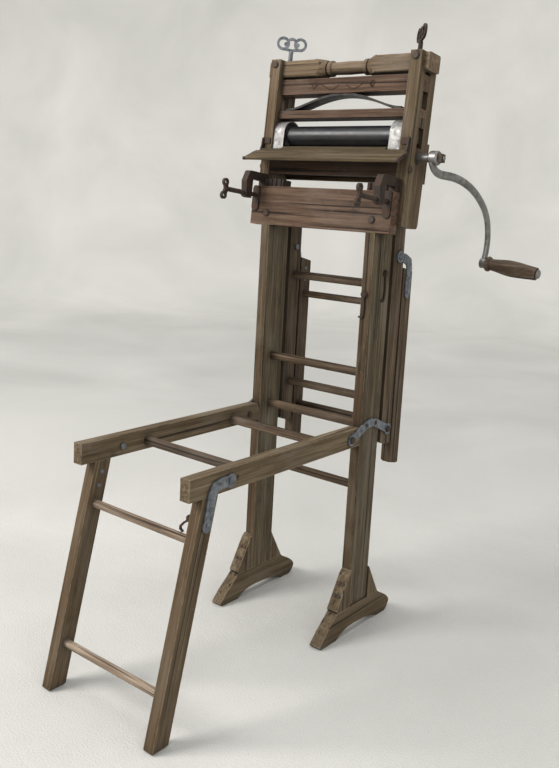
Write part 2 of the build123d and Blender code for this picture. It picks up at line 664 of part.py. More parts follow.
# ---- bench ----
def guide_pins():
    """Pins that rise from the lower board through the pressure board."""
    top = BAR_BOTTOM - ROLLER_TRAVEL - STOP_GAP
    pin = rod_z(GUIDE_PIN_X, GUIDE_PIN_Y, LOWER_BOARD_BOTTOM, top, GUIDE_PIN_DIA)
    return pair(pin)


def post():
    """Right post: stands on its shoe; its top is cut back for the leaning crossboard."""
    body = block(POST_IN, POST_OUT, -POST_FACE, POST_FACE, SHOE_HEIGHT, STAND_HEIGHT)
    seat = block(POST_IN - 5, POST_OUT + 5, BOARD_BACK - 300, BOARD_BACK,
                 CROSSBOARD_BOTTOM, CROSSBOARD_BOTTOM + 400)
    body -= HEAD * seat
    for height in POST_RUNG_HEIGHTS:
        body -= rod_x(POST_IN, POST_IN + RUNG_TENON, 0, height, RUNG_DIA)
    return body


def crossboard():
    """Board across both posts that the wringer is clamped to."""
    end = CHEEK_OUT - CROSSBOARD_INSET
    board = block(-end, end, BOARD_FACE, BOARD_BACK, CROSSBOARD_BOTTOM, CROSSBOARD_TOP)
    return HEAD * board


def post_rungs():
    """Round rungs let into both posts."""
    end = POST_IN + RUNG_TENON
    rungs = [rod_x(-end, end, 0, height, RUNG_DIA) for height in POST_RUNG_HEIGHTS]
    return group(*rungs)


def shoe():
    """Right foot: a shaped board along Y, arched below, with a long toe and a round heel."""
    top = SHOE_HEIGHT
    toe, heel = -SHOE_TOE, SHOE_HEEL
    fore, aft = -POST_FACE - GUSSET_FOOT, POST_FACE + GUSSET_FOOT - GUSSET_STEP
    x0 = POST_IN
    rim = [Polyline((heel - 20, 0), (heel - 52, 0)),
           Spline((heel - 52, 0), (45, SHOE_ARCH * 0.75), (0, SHOE_ARCH), (-45, SHOE_ARCH * 0.9),
                  (toe + 62, 0)),
           Polyline((toe + 62, 0), (toe + 6, 0), (toe, 6), (toe + 22, 29), (fore - 8, top - 10),
                    (fore + 2, top), (aft, top)),
           Spline((aft, top), (heel - 32, top - 14), (heel - 8, top - 30), (heel, 22),
                  (heel - 7, 7), (heel - 20, 0))]
    outline = make_face(rim)
    return side_plate(outline, x0, x0 + SHOE_THICK)


def foot_gussets():
    """Sloped blocks glued before and behind each post, on the shoe."""
    top = SHOE_HEIGHT + GUSSET_RISE
    low = SHOE_HEIGHT
    face = POST_FACE
    toe = face + GUSSET_FOOT
    front = polygon([(-face, low), (-face, top), (-face - 9, top - 8), (-toe, low + GUSSET_STEP),
                     (-toe + 4, low)])
    rear = polygon([(face, low), (face, top - 12), (face + GUSSET_FOOT - GUSSET_STEP, low)])
    x1 = POST_IN + SHOE_THICK
    return pair(group(side_plate(front, POST_IN, x1), side_plate(rear, POST_IN, x1)))


def gusset_screws():
    """Countersunk screw heads on each front gusset, two rows of two."""
    slope = math.degrees(math.atan2(GUSSET_RISE - 8 - GUSSET_STEP, GUSSET_FOOT - 9))
    heads = []
    for along in (0.28, 0.62):
        for x in (POST_IN + SHOE_THICK * 0.3, POST_IN + SHOE_THICK * 0.7):
            y = -POST_FACE - 9 - (GUSSET_FOOT - 9) * along
            z = SHOE_HEIGHT + GUSSET_RISE - 8 - (GUSSET_RISE - 8 - GUSSET_STEP) * along
            heads.append(Pos(x, y, z) * Rot(slope, 0, 0) * wood_screw())
    return pair(group(*heads))


def hinge_plates():
    """Arched casting on each post, with an eye before and behind it for the wing pivots."""
    z = PIVOT_HEIGHT
    arch = [(-PIVOT_Y, z), (-PIVOT_Y + 22, z + 10), (-18, z + 24), (0, z + 27), (18, z + 24),
            (PIVOT_Y - 22, z + 10), (PIVOT_Y, z)]
    shape = band(arch, PLATE_BAND)
    for side in (-1, 1):
        shape += Pos(side * PIVOT_Y, z) * Circle(EYE_DIA / 2)
    for side in (-1, 1):
        shape -= Pos(side * PIVOT_Y, z) * Circle(PIVOT_DIA / 2)
    return pair(side_plate(shape, POST_OUT, POST_OUT + PLATE_THICK))


def hinge_plate_screws():
    """Screws that hold the hinge plates to the posts."""
    outer = POST_OUT + PLATE_THICK
    screws = [Pos(outer, y, PIVOT_HEIGHT + 24) * Rot(0, 90, 0) * wood_screw() for y in (-18, 18)]
    return pair(group(*screws))


def wing_pivot_bolts():
    """Bolts through the hinge-plate eyes and the rails, headed at both ends."""
    head = dome_head(BOLT_HEAD_DIA, BOLT_HEAD_THICK)
    bolts = []
    for side in (-1, 1):
        y = side * PIVOT_Y
        outer = POST_OUT + PLATE_THICK
        bolt = rod_x(POST_IN - 2, outer, y, PIVOT_HEIGHT, PIVOT_DIA)
        bolt += Pos(outer, y, PIVOT_HEIGHT) * Rot(0, 90, 0) * head
        bolt += Pos(POST_IN - 1, y, PIVOT_HEIGHT) * Rot(0, -90, 0) * dome_head(PIVOT_DIA + 5, 2.5)
        bolts.append(bolt)
    return pair(group(*bolts))


# ---- wings: drawn lowered to the front, then mirrored and folded for the back ----
def rail():
    """Right wing rail, its inner top corner rounded so that it can swing past the post."""
    inner = -POST_FACE - STOP_GAP
    outer = -POST_FACE - WING_REACH
    x0, x1 = POST_IN + RAIL_PLAY, POST_OUT - RAIL_PLAY
    body = block(x0, x1, outer, inner, RAIL_BOTTOM, RAIL_TOP)
    swing = inner + PIVOT_Y - STOP_GAP
    corner = block(x0, x1, -PIVOT_Y, inner, PIVOT_HEIGHT, RAIL_TOP)
    body -= corner - rod_x(x0, x1, -PIVOT_Y, PIVOT_HEIGHT, 2 * swing)
    body -= rod_x(x0, x1, -PIVOT_Y, PIVOT_HEIGHT, PIVOT_DIA + 2 * PIVOT_PLAY)
    body -= rod_x(x0, x1, -KNEE_Y, PIVOT_HEIGHT, PIVOT_DIA)
    for distance in WING_RUNGS:
        body -= rod_x(x0, x0 + RUNG_TENON, -PIVOT_Y - distance, PIVOT_HEIGHT - 1, WING_RUNG_DIA)
    return body


def wing_rungs():
    """Round rungs between the two rails of a wing."""
    end = POST_IN + RAIL_PLAY + RUNG_TENON
    rungs = [rod_x(-end, end, -PIVOT_Y - distance, PIVOT_HEIGHT - 1, WING_RUNG_DIA)
             for distance in WING_RUNGS]
    return group(*rungs)


def knee_bolts():
    """Bolts in the rails that carry the knee brackets of the leg frame."""
    outer = POST_OUT + PLATE_THICK + 2 * SHAFT_PLAY
    bolt = rod_x(POST_IN - 2, outer, -KNEE_Y, PIVOT_HEIGHT, PIVOT_DIA)
    bolt += Pos(outer, -KNEE_Y, PIVOT_HEIGHT) * Rot(0, 90, 0) * dome_head(PIVOT_DIA + 5, 2.5)
    bolt += Pos(POST_IN - 1.7, -KNEE_Y, PIVOT_HEIGHT) * Rot(0, -90, 0) * dome_head(PIVOT_DIA + 5, 2.5)
    return pair(bolt)


def on_leg(along, across):
    """YZ place of a point on a leg, from the knee pivot, along and across the leg."""
    lean = math.radians(LEG_SPLAY)
    y = -KNEE_Y - along * math.sin(lean) - across * math.cos(lean)
    z = PIVOT_HEIGHT - along * math.cos(lean) + across * math.sin(lean)
    return y, z


def leg():
    """Right leg of a wing, level at its top and where it meets the floor."""
    long = PIVOT_HEIGHT * 1.3
    outline = polygon([on_leg(-80, LEG_NEAR), on_leg(long, LEG_NEAR), on_leg(long, LEG_FAR),
                       on_leg(-80, LEG_FAR)])
    body = side_plate(outline, POST_IN, POST_OUT)
    level = RAIL_BOTTOM - STOP_GAP
    body -= block(POST_IN, POST_OUT, -KNEE_Y - 400, -KNEE_Y + 200, level, level + 200)
    body -= block(POST_IN, POST_OUT, -KNEE_Y - 600, -KNEE_Y + 200, -400, 0)
    body = chamfer(body.edges().group_by(Axis.Z)[0], LEG_FOOT_BEVEL)
    for along in LEG_RUNGS:
        y, z = on_leg(along, (LEG_NEAR + LEG_FAR) / 2)
        body -= rod_x(POST_IN, POST_IN + RUNG_TENON, y, z, LEG_RUNG_DIA)
    return body


def leg_rungs():
    """Round rungs between the two legs of a wing."""
    end = POST_IN + RUNG_TENON
    rungs = []
    for along in LEG_RUNGS:
        y, z = on_leg(along, (LEG_NEAR + LEG_FAR) / 2)
        rungs.append(rod_x(-end, end, y, z, LEG_RUNG_DIA))
    return group(*rungs)


def knee_bracket():
    """Galvanised casting: screwed to the leg, it turns on the rail's knee bolt."""
    middle = (LEG_NEAR + LEG_FAR) / 2
    eye = (-KNEE_Y, PIVOT_HEIGHT)
    run = [eye, (-KNEE_Y - 20, PIVOT_HEIGHT + 1), on_leg(12, middle - 4), on_leg(28, middle),
           on_leg(52, middle - 2), on_leg(83, middle - 2)]
    shape = band(run, KNEE_BAND)
    shape += Pos(*eye) * Circle(KNEE_EYE_DIA / 2)
    shape -= Pos(*eye) * Circle(PIVOT_DIA / 2 + SHAFT_PLAY)
    return side_plate(shape, POST_OUT, POST_OUT + PLATE_THICK)


def knee_rivets():
    """Two rivets through each knee bracket and its leg."""
    shank = rod_z(0, 0, -PLATE_THICK - POST_THICK, 0.5, WOOD_SCREW_DIA)
    rivet = dome_head(WOOD_SCREW_HEAD, 2) + shank
    rivet += Pos(0, 0, -PLATE_THICK - POST_THICK) * Rot(180, 0, 0) * dome_head(WOOD_SCREW_HEAD + 1, 1.5)
    rivets = []
    for along in (52, 79):
        y, z = on_leg(along, (LEG_NEAR + LEG_FAR) / 2 - 2)
        rivets.append(Pos(POST_OUT + PLATE_THICK, y, z) * Rot(0, 90, 0) * rivet)
    return pair(group(*rivets))


def folded_leg(shape):
    """Turn a leg-frame piece about the knee until it lies along its rail."""
    knee = Pos(0, -KNEE_Y, PIVOT_HEIGHT)
    return knee * Rot(FOLD_ANGLE, 0, 0) * knee.inverse() * shape


def folded_back(shape):
    """Carry a front-wing piece to the back wing and fold that wing up behind the posts."""
    pivot = Pos(0, PIVOT_Y, PIVOT_HEIGHT)
    return pivot * Rot(90, 0, 0) * pivot.inverse() * mirror(shape, about=Plane.XZ)


# ---- hooks ----
def gate_hook(length):
    """Wire hook hanging from its ring at the origin, its bill turned towards -Y."""
    ring = HOOK_STUD_DIA / 2 + HOOK_PLAY
    shape = Circle(ring + HOOK_WIRE) - Circle(ring)
    shape += band([(0, -ring - HOOK_WIRE / 2), (1.5, -length * 0.5), (0.5, -length * 0.85),
                   (-3, -length + HOOK_WIRE / 2), (-9, -length + HOOK_WIRE)], HOOK_WIRE)
    return extrude(Plane.YZ * shape, amount=HOOK_WIRE / 2, both=True)


def hook_eye():
    """Stud along X, let into the wood at x < 0, with a flat head that keeps a hook on."""
    end = HOOK_WIRE + 2 * HOOK_PLAY
    stud = rod_x(-12, end, 0, 0, HOOK_STUD_DIA)
    return stud + rod_x(end, end + 1.6, 0, 0, HOOK_STUD_DIA + HOOK_WIRE * 1.3)


def leg_hook_staple():
    """Bent staple on the leg's inner face: a lug with a cross stud for the leg hook."""
    lug = block(-14, LEG_HOOK_OUT + 5, HOOK_WIRE / 2 + HOOK_PLAY, HOOK_WIRE * 1.3 + HOOK_PLAY, -4, 4)
    return lug + rod_y(LEG_HOOK_OUT, -HOOK_WIRE / 2 - HOOK_PLAY - 2, HOOK_WIRE, 0, HOOK_STUD_DIA)


LEG_HOOK_OUT = HOOK_STUD_DIA / 2 + HOOK_WIRE + 2 * HOOK_PLAY
SIDE_HOOK_AT = Pos(POST_OUT, 16, STAND_HEIGHT - 167)
FRONT_HOOK_AT = Pos(POST_MID - 3, -POST_FACE, STAND_HEIGHT - 211) * Rot(0, 0, -90)
LEG_HOOK_AT = Pos(POST_IN, *on_leg(LEG_RUNGS[0] - 38, LEG_FAR - 12)) * Rot(0, 0, 180)


def hooks_and_eyes():
    """The two hooks on the right post, the one on the right front leg, and their eyes."""
    away = Pos(HOOK_WIRE / 2 + HOOK_PLAY, 0, 0)
    parts["hook_eyes"] = group(SIDE_HOOK_AT * hook_eye(), FRONT_HOOK_AT * hook_eye())
    parts["side_hook"] = SIDE_HOOK_AT * away * gate_hook(SIDE_HOOK_LENGTH)
    parts["front_hook"] = FRONT_HOOK_AT * away * gate_hook(FRONT_HOOK_LENGTH)
    resting = Rot(0, -LEG_HOOK_REST, 0) * Rot(0, 0, -90) * gate_hook(LEG_HOOK_LENGTH)
    parts["leg_hook_staple"] = LEG_HOOK_AT * leg_hook_staple()
    parts["leg_hook"] = LEG_HOOK_AT * Pos(LEG_HOOK_OUT, 0, 0) * resting


# ---- assembly ----
def guide_clearance():
    """Clearance holes for the guide pins in the pressure board."""
    bore = GUIDE_PIN_DIA + 2 * SLIDE_PLAY
    hole = rod_z(GUIDE_PIN_X, GUIDE_PIN_Y, LOWER_BOARD_TOP, BAR_BOTTOM, bore)
    return pair(hole)


def build_wringer():
    """Every wringer piece, drawn upright and then set on the bench with its lean."""
    head = {
        "cheek_right": cheek(), "cheek_left": mirrored_x(cheek()), "top_bar": top_bar(),
        "screw_nut_plates": nut_plates(), "bow_spring": bow_spring(),
        "pressure_board": slotted_board(PRESSURE_BOTTOM, PRESSURE_HEIGHT) - guide_clearance(),
        "lower_spring_board": slotted_board(LOWER_BOARD_BOTTOM, LOWER_BOARD_HEIGHT),
        "guide_pins": guide_pins(),
        "thumb_screw_left": Pos(-CHEEK_IN, 0, 0) * thumb_screw(HANDLE_TURN_LEFT),
        "thumb_screw_right": Pos(CHEEK_IN, 0, 0) * thumb_screw(HANDLE_TURN_RIGHT),
        "upper_bearings": upper_bearings(), "lower_bearings": lower_bearings(),
        "upper_roller_rubber": rubber(UPPER_AXIS), "upper_roller_shaft": upper_shaft(),
        "lower_roller_rubber": rubber(LOWER_AXIS), "lower_roller_shaft": lower_shaft(),
        "roller_guards": roller_guards(), "apron_board": apron(), "apron_brackets": apron_brackets(),
        "apron_end_irons": apron_end_irons(),
        "front_rail": front_rail(), "rear_board": rear_board(), "frame_bolts": frame_bolts(),
        "crank_arm": crank_arm(), "crank_nut": crank_nut(), "grip_spindle": grip_spindle(),
        "crank_grip": grip(), "clamp_castings": pair(clamp_casting()),
        "clamp_pad_right": clamp_pad(), "clamp_pad_left": mirrored_x(clamp_pad()),
        "clamp_screw_right": clamp_screw(), "clamp_screw_left": mirrored_x(clamp_screw()),
    }
    head["lower_spring_board"] = bored(head["lower_spring_board"], head["guide_pins"])
    for name in ("cheek_right", "cheek_left", "top_bar", "front_rail"):
        head[name] = bored(head[name], head["frame_bolts"])
    for name, shape in head.items():
        parts[name] = HEAD * shape


def build_bench():
    """Posts, feet and the pieces fixed to them."""
    parts["post_right"] = post()
    parts["post_left"] = mirrored_x(post())
    parts["crossboard"] = crossboard()
    parts["post_rungs"] = post_rungs()
    parts["shoes"] = pair(shoe())
    parts["foot_gussets"] = foot_gussets()
    parts["hinge_plates"] = hinge_plates()
    parts["bench_screws"] = group(gusset_screws(), hinge_plate_screws())
    parts["wing_pivot_bolts"] = wing_pivot_bolts()
    for name in ("foot_gussets", "hinge_plates", "post_right", "post_left"):
        parts[name] = bored(parts[name], parts["bench_screws"])
    for name in ("crossboard", "post_right", "post_left"):
        parts[name] = bored(parts[name], parts["frame_bolts"])
    parts["post_right"] = bored(parts["post_right"], parts["hook_eyes"])


def build_wings():
    """Both wings from the same pieces: the front one lowered, the back one folded up."""
    rivets = knee_rivets()
    rails = {"wing_rails": pair(rail()), "wing_rungs": wing_rungs(), "knee_bolts": knee_bolts()}
    legs = {"legs": bored(pair(leg()), rivets), "leg_rungs": leg_rungs(),
            "knee_brackets": bored(pair(knee_bracket()), rivets), "knee_rivets": rivets}
    for name, shape in rails.items():
        parts["front_" + name] = shape
        parts["back_" + name] = folded_back(shape)
    for name, shape in legs.items():
        parts["front_" + name] = shape
        parts["back_" + name] = folded_back(folded_leg(shape))
    parts["front_legs"] = bored(parts["front_legs"], parts["leg_hook_staple"])


def place_and_write():
    """Move the origin under the middle of the whole object and write one file per node."""
    box = Compound(children=[Compound(children=s.solids()) for s in parts.values()]).bounding_box()
    shift = Pos(-(box.min.X + box.max.X) / 2, -(box.min.Y + box.max.Y) / 2, -box.min.Z)
    os.makedirs("parts", exist_ok=True)
    for name, shape in parts.items():
        solids = [shift * solid for solid in shape.solids()]
        moved = solids[0] if len(solids) == 1 else Compound(children=solids)
        parts[name] = moved
        export_step(moved, f"parts/{name}.step")
    return shift


build_wringer()
hooks_and_eyes()
build_bench()
build_wings()
ORIGIN_SHIFT = place_and_write()
print(len(parts), "nodes, origin shift", ORIGIN_SHIFT.position)
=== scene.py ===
"""Clothes mangle on its folding wash bench: looks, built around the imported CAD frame."""
import json
import math

import bpy
import bmesh
from mathutils import Matrix, Vector


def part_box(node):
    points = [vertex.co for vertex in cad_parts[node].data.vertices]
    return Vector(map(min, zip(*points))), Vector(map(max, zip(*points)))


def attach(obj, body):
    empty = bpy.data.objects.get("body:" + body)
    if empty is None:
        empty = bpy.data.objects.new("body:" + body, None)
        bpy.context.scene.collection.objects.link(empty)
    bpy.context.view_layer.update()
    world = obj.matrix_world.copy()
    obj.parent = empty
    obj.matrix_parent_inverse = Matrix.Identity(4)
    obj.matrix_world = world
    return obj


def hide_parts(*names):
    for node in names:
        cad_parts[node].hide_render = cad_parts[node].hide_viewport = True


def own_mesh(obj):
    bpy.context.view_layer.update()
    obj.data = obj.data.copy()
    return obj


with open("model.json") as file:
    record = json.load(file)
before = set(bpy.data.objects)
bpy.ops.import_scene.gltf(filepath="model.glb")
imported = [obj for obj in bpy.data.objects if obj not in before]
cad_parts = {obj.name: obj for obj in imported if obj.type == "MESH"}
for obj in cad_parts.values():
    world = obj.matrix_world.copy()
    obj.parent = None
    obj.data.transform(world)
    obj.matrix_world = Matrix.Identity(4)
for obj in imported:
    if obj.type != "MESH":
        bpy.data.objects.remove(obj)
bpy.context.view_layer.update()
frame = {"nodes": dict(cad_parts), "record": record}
JOINTS = {joint["name"]: joint for joint in frame["record"]["behaviour"]["joints"]}

LEAN = math.radians(5.25)      # the wringer leans back
SPLAY = math.radians(13.2)     # the front legs stand out
UP = Vector((0, math.sin(LEAN), math.cos(LEAN)))      # along the wringer's cheeks
OUT = Vector((0, -math.cos(LEAN), math.sin(LEAN)))    # square to their front edges

# noise in wood: cells per metre across and along the grain, detail, roughness, distortion
FIBRE = (330, 9, 5, 0.65, 0.2)
STREAK = (120, 3.5, 5, 0.62, 0.3)
BROAD = (30, 1.3, 3, 0.5, 0.5)
PATCH = (14, 5, 5, 0.62, 0.4)
CLOUD = (4.5, 2.2, 4, 0.55, 0.0)
CRACK = (150, 2.0, 2, 0.45, 0.1)
FLECKS = (300, 90, 3, 0.7, 0.0)
STAIN = (24, 9, 4, 0.7, 0.0)

# reach of worn edges and of the painted shade in corners and under overhangs, metres
WOOD_EDGE, ZINC_EDGE, IRON_EDGE, RUBBER_EDGE = 0.0030, 0.0009, 0.0010, 0.002
WOOD_CORNER_SHADE, METAL_CORNER_SHADE, STEEL_CORNER_SHADE = 0.030, 0.006, 0.008

# rounding of hard edges, metres
RUNG_ROUND, WOOD_ROUND, METAL_ROUND = 0.0012, 0.0018, 0.0009

# screw threads: start and end along the axis, radius of the helix; then the pitch, metres
THUMB_THREAD = (0.0445, 0.0675, 0.0047)
CLAMP_THREAD = (0.041, 0.086, 0.0049)
THREAD_PITCH = 0.0025
THREAD_STEPS = 20
THREAD_BEAD = 0.26    # ridge radius as a share of the pitch

# cut scrolls on the pressure board, metres
SCROLL_DROP, SCROLL_OUT, SCROLL_BEAD = 0.0168, 0.0208, 0.0011
SPIRAL_X, SPIRAL_Z, SPIRAL_START, SPIRAL_GROWTH = 0.078, 0.001, 0.0014, 0.0062
SPIRAL_TURNS, SPIRAL_STEPS, WAVE_STEPS = 1.8, 33, 21
WAVE_END, WAVE_HEIGHT = 0.010, 0.0070

RAIL_HOLE_AHEAD, RAIL_HOLE_ABOVE, RAIL_HOLE_RADIUS = 0.021, 0.002, 0.0045

# backdrop: flat floor, radius of its curve, top of its wall, metres
FLOOR_REACH, SWEEP_RADIUS, WALL_TOP = 5.2, 1.6, 4.2
FLOOR_RINGS = (0.6, 2.5)
SWEEP_STEPS, BACKDROP_SIDES = 10, 64
# painted light: the cloth's own glow starts at GLOW_START and reaches GLOW at GLOW_END, metres
# from the middle
GLOW_START, GLOW_END, GLOW = 1.3, 5.6, 0.50

SURROUND_COLOUR, SURROUND_STRENGTH = (0.93, 0.96, 1.0, 1), 0.34
LIGHTS = (  # name, place, aim, size, power, colour
    ("key", (-2.2, -3.0, 3.0), (0, 0, 0.55), (1.9, 1.9), 185, (1.0, 0.985, 0.96)),
    ("fill", (3.2, -1.8, 2.2), (0, 0, 0.6), (2.4, 2.4), 42, (0.95, 0.97, 1.0)),
    ("overhead", (0.0, 0.4, 3.6), (0, 0, 0.3), (3.0, 3.0), 60, (1, 1, 1)),
)

CAMERA_YAW, CAMERA_PITCH, CAMERA_ROLL = 37.86, -9.38, 3.15
CAMERA_LENS, CAMERA_SENSOR, CAMERA_SHIFT = 40.18, 36.0, -0.0549
CAMERA_PLACE = sum(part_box("crossboard"), Vector()) / 2 + Vector((1.1099, -1.5501, 0.0141))


# ---- shader building helpers ----
class Graph:
    """A material's node tree, with short calls for the nodes used here."""

    def __init__(self, name):
        self.mat = bpy.data.materials.new(name)
        self.mat.use_nodes = True
        self.tree = self.mat.node_tree
        self.tree.nodes.clear()
        self.out = self.tree.nodes.new("ShaderNodeOutputMaterial")
        self.coords = self.tree.nodes.new("ShaderNodeTexCoord").outputs["Object"]

    def put(self, socket, value):
        """Link a socket or set a constant."""
        if isinstance(value, bpy.types.NodeSocket):
            self.tree.links.new(value, socket)
        elif isinstance(value, tuple) and len(value) == 3 and socket.type == "RGBA":
            socket.default_value = (*value, 1)
        else:
            socket.default_value = value

    def node(self, kind, inputs=None, **props):
        made = self.tree.nodes.new("ShaderNode" + kind)
        for key, value in props.items():
            setattr(made, key, value)
        for key, value in (inputs or {}).items():
            self.put(made.inputs[key], value)
        return made

    def mapped(self, vector, scale=(1, 1, 1), turn=(0, 0, 0), shift=(0, 0, 0)):
        return self.node("Mapping", {"Vector": vector, "Scale": scale, "Rotation": turn,
                                     "Location": shift}).outputs[0]

    def noise(self, vector, scale, detail=4.0, rough=0.55, distort=0.0):
        return self.node("TexNoise", {"Vector": vector, "Scale": scale, "Detail": detail,
                                      "Roughness": rough, "Distortion": distort}).outputs["Fac"]

    def shifted(self, seed):
        """Object coordinates moved by the seed, so that no two metals share a pattern."""
        return self.mapped(self.coords, shift=(seed, seed * 0.7, seed * 0.3))

    def grain(self, along, kind, fine=1.0):
        """Noise drawn out along the wood's grain, from one of the rows above."""
        across, lengthways, detail, rough, distort = kind
        stretched = self.mapped(along, (across * fine, across * fine, lengthways))
        return self.noise(stretched, 1.0, detail, rough, distort)

    def ramp(self, fac, *stops):
        made = self.node("ValToRGB", {"Fac": fac})
        points = made.color_ramp.elements
        while len(points) < len(stops):
            points.new(0.5)
        for point, (place, colour) in zip(points, stops):
            point.position = place
            shade = colour if isinstance(colour, tuple) else (colour,) * 3
            point.color = (*shade, 1)
        return made.outputs[0]

    def mix(self, fac, a, b, blend="MIX"):
        made = self.node("Mix", data_type="RGBA", blend_type=blend)
        self.put(made.inputs[0], fac)
        self.put(made.inputs[6], a)
        self.put(made.inputs[7], b)
        return made.outputs[2]

    def math(self, operation, a, b=0.0, clamp=False):
        made = self.node("Math", operation=operation, use_clamp=clamp)
        self.put(made.inputs[0], a)
        self.put(made.inputs[1], b)
        return made.outputs[0]

    def span(self, value, low, high, to_low=0.0, to_high=1.0):
        made = self.node("MapRange", {"Value": value, "From Min": low, "From Max": high,
                                      "To Min": to_low, "To Max": to_high})
        return made.outputs[0]

    def edges(self, radius):
        """1 on rounded outer edges and 0 on flats, from the turned normal near an edge."""
        bevel = self.node("Bevel", {"Radius": radius}, samples=6)
        normal = self.node("NewGeometry").outputs["Normal"]
        dot = self.node("VectorMath", {0: bevel.outputs[0], 1: normal}, operation="DOT_PRODUCT")
        return self.span(dot.outputs["Value"], 0.995, 0.80)

    def hollows(self, distance):
        """1 in corners and under overhangs, 0 in the open; the mask for painted shade there."""
        made = self.node("AmbientOcclusion", {"Distance": distance}, samples=6)
        return self.span(made.outputs["AO"], 0.9, 0.35)

    def finish(self, base, rough, height, depth, metal=0.0, **constants):
        """Close the material: colour, roughness and a bump from the height."""
        shader = self.node("BsdfPrincipled", {"Base Color": base, "Roughness": rough,
                                              "Metallic": metal})
        for key, value in constants.items():
            shader.inputs[key.replace("_", " ")].default_value = value
        bump = self.node("Bump", {"Height": height, "Distance": depth, "Strength": 1.0})
        self.tree.links.new(bump.outputs[0], shader.inputs["Normal"])
        self.tree.links.new(shader.outputs[0], self.out.inputs[0])
        self.shader = shader
        return self.mat


def srgb(red, green, blue):
    """Display colour, 0 to 255, as linear light."""
    def one(c):
        c /= 255
        return c / 12.92 if c <= 0.04045 else ((c + 0.055) / 1.055) ** 2.4
    return one(red), one(green), one(blue)


def times(colour, factor):
    """A colour made darker or lighter."""
    return tuple(min(1, c * factor) for c in colour)


# ---- materials ----
GRAIN_TURN = {"Z": (0, 0, 0), "Y": (math.pi / 2, 0, 0), "X": (0, math.pi / 2, 0),
              "lean": (LEAN, 0, 0), "splay": (SPLAY, 0, 0)}


def wood(name, grain, dark, mid, light, seed, worn=0.5, polish=0.0, fine=1.0, red=0.0):
    """Old dry timber: fine streaks, rings, patches, stains, cracks and worn edges, with painted
    shade in corners and under overhangs; with red set, a painted reddish shade on faces turned
    to the front.
    """
    g = Graph(f"{name}_{grain}_{seed}")
    shift = (seed * 1.37 % 5, seed * 2.11 % 5, seed * 0.73 % 5)
    along = g.mapped(g.coords, turn=GRAIN_TURN[grain], shift=shift)
    fibre = g.grain(along, FIBRE, fine)
    streak = g.grain(along, STREAK, fine)
    broad = g.grain(along, BROAD, fine)
    patch = g.grain(along, PATCH)
    tone = g.math("ADD", g.math("MULTIPLY", fibre, 0.42), g.math("MULTIPLY", streak, 0.40))
    tone = g.math("ADD", tone, g.math("MULTIPLY", broad, 0.18))
    base = g.ramp(tone, (0.37, dark), (0.49, mid), (0.64, light))
    rings = g.math("SINE", g.math("MULTIPLY", broad, 70.0))
    base = g.mix(g.span(rings, 0.3, 1.0, 0, 0.22), base, g.mix(0.6, dark, mid))
    grey = tuple(0.65 * c + 0.35 * sum(light) / 3 for c in light)
    base = g.mix(g.span(patch, 0.50, 0.72, 0, 0.45), base, grey)
    cloud = g.span(g.grain(along, CLOUD), 0.42, 0.62, 0, 0.40)
    base = g.mix(cloud, base, g.mix(0.5, dark, mid))
    # painted shade: with red set, faces turned to the front (-Y) get a redder, darker colour by
    # which way they face
    if red:
        tint = (mid[0] * 1.18, mid[1] * 0.80, mid[2] * 0.62)
        normal = g.node("SeparateXYZ", {0: g.node("NewGeometry").outputs["Normal"]})
        front = g.span(normal.outputs[1], -0.5, -0.9)
        front = g.math("MULTIPLY", front, g.span(patch, 0.62, 0.42, 0.35, 1.0))
        base = g.mix(g.math("MULTIPLY", front, red), base, g.mix(0.55, base, tint))
        base = g.mix(g.math("MULTIPLY", front, red * 0.5), base, tint, "MULTIPLY")
    cracks = g.span(g.grain(along, CRACK), 0.36, 0.31)
    base = g.mix(g.math("MULTIPLY", cracks, 0.8), base, times(dark, 0.16))
    stain = g.span(g.grain(along, STAIN), 0.60, 0.74)
    base = g.mix(g.math("MULTIPLY", stain, 0.6), base, times(dark, 0.45))
    flecks = g.span(g.grain(along, FLECKS), 0.67, 0.74, 0, 0.45)
    base = g.mix(flecks, base, times(light, 1.5))
    edge = g.edges(WOOD_EDGE)
    edge = g.math("MULTIPLY", edge, g.span(g.noise(along, 60.0, 3), 0.36, 0.58))
    base = g.mix(g.math("MULTIPLY", edge, worn), base, times(light, 1.25))
    # painted shade: darker in corners and under overhangs
    corner_shade = g.math("MULTIPLY", g.hollows(WOOD_CORNER_SHADE), 0.70)
    base = g.mix(corner_shade, base, times(dark, 0.22))
    rough = g.span(g.math("ADD", streak, patch), 0.7, 1.3, 0.86 - polish, 0.62 - polish)
    height = g.math("ADD", g.math("MULTIPLY", streak, 0.6), g.math("MULTIPLY", fibre, 0.5))
    height = g.math("SUBTRACT", height, g.math("MULTIPLY", cracks, 1.0))
    return g.finish(base, rough, height, 0.0010 * (1 - polish), Specular_IOR_Level=0.25)


def galvanised(name, dark, light, seed, rust=0.35):
    """Zinc-coated casting gone dull: grey mottle, dark pores and a little rust."""
    g = Graph(name)
    at = g.shifted(seed)
    mottle = g.noise(at, 85.0, 5, 0.65)
    pores = g.noise(at, 420.0, 3, 0.6)
    base = g.ramp(mottle, (0.32, dark), (0.66, light))
    brown = g.span(g.noise(at, 33.0, 5, 0.7), 0.56, 0.72)
    base = g.mix(g.math("MULTIPLY", brown, rust), base, (0.085, 0.045, 0.022))
    # painted shade: near black in corners and under overhangs
    base = g.mix(g.math("MULTIPLY", g.hollows(METAL_CORNER_SHADE), 0.7), base, (0.02, 0.017, 0.014))
    base = g.mix(g.math("MULTIPLY", g.edges(ZINC_EDGE), 0.5), base, times(light, 1.5))
    rough = g.span(mottle, 0.3, 0.7, 0.62, 0.42)
    height = g.math("ADD", g.math("MULTIPLY", mottle, 0.5), g.math("MULTIPLY", pores, 0.5))
    return g.finish(base, rough, height, 0.0004, 0.55)


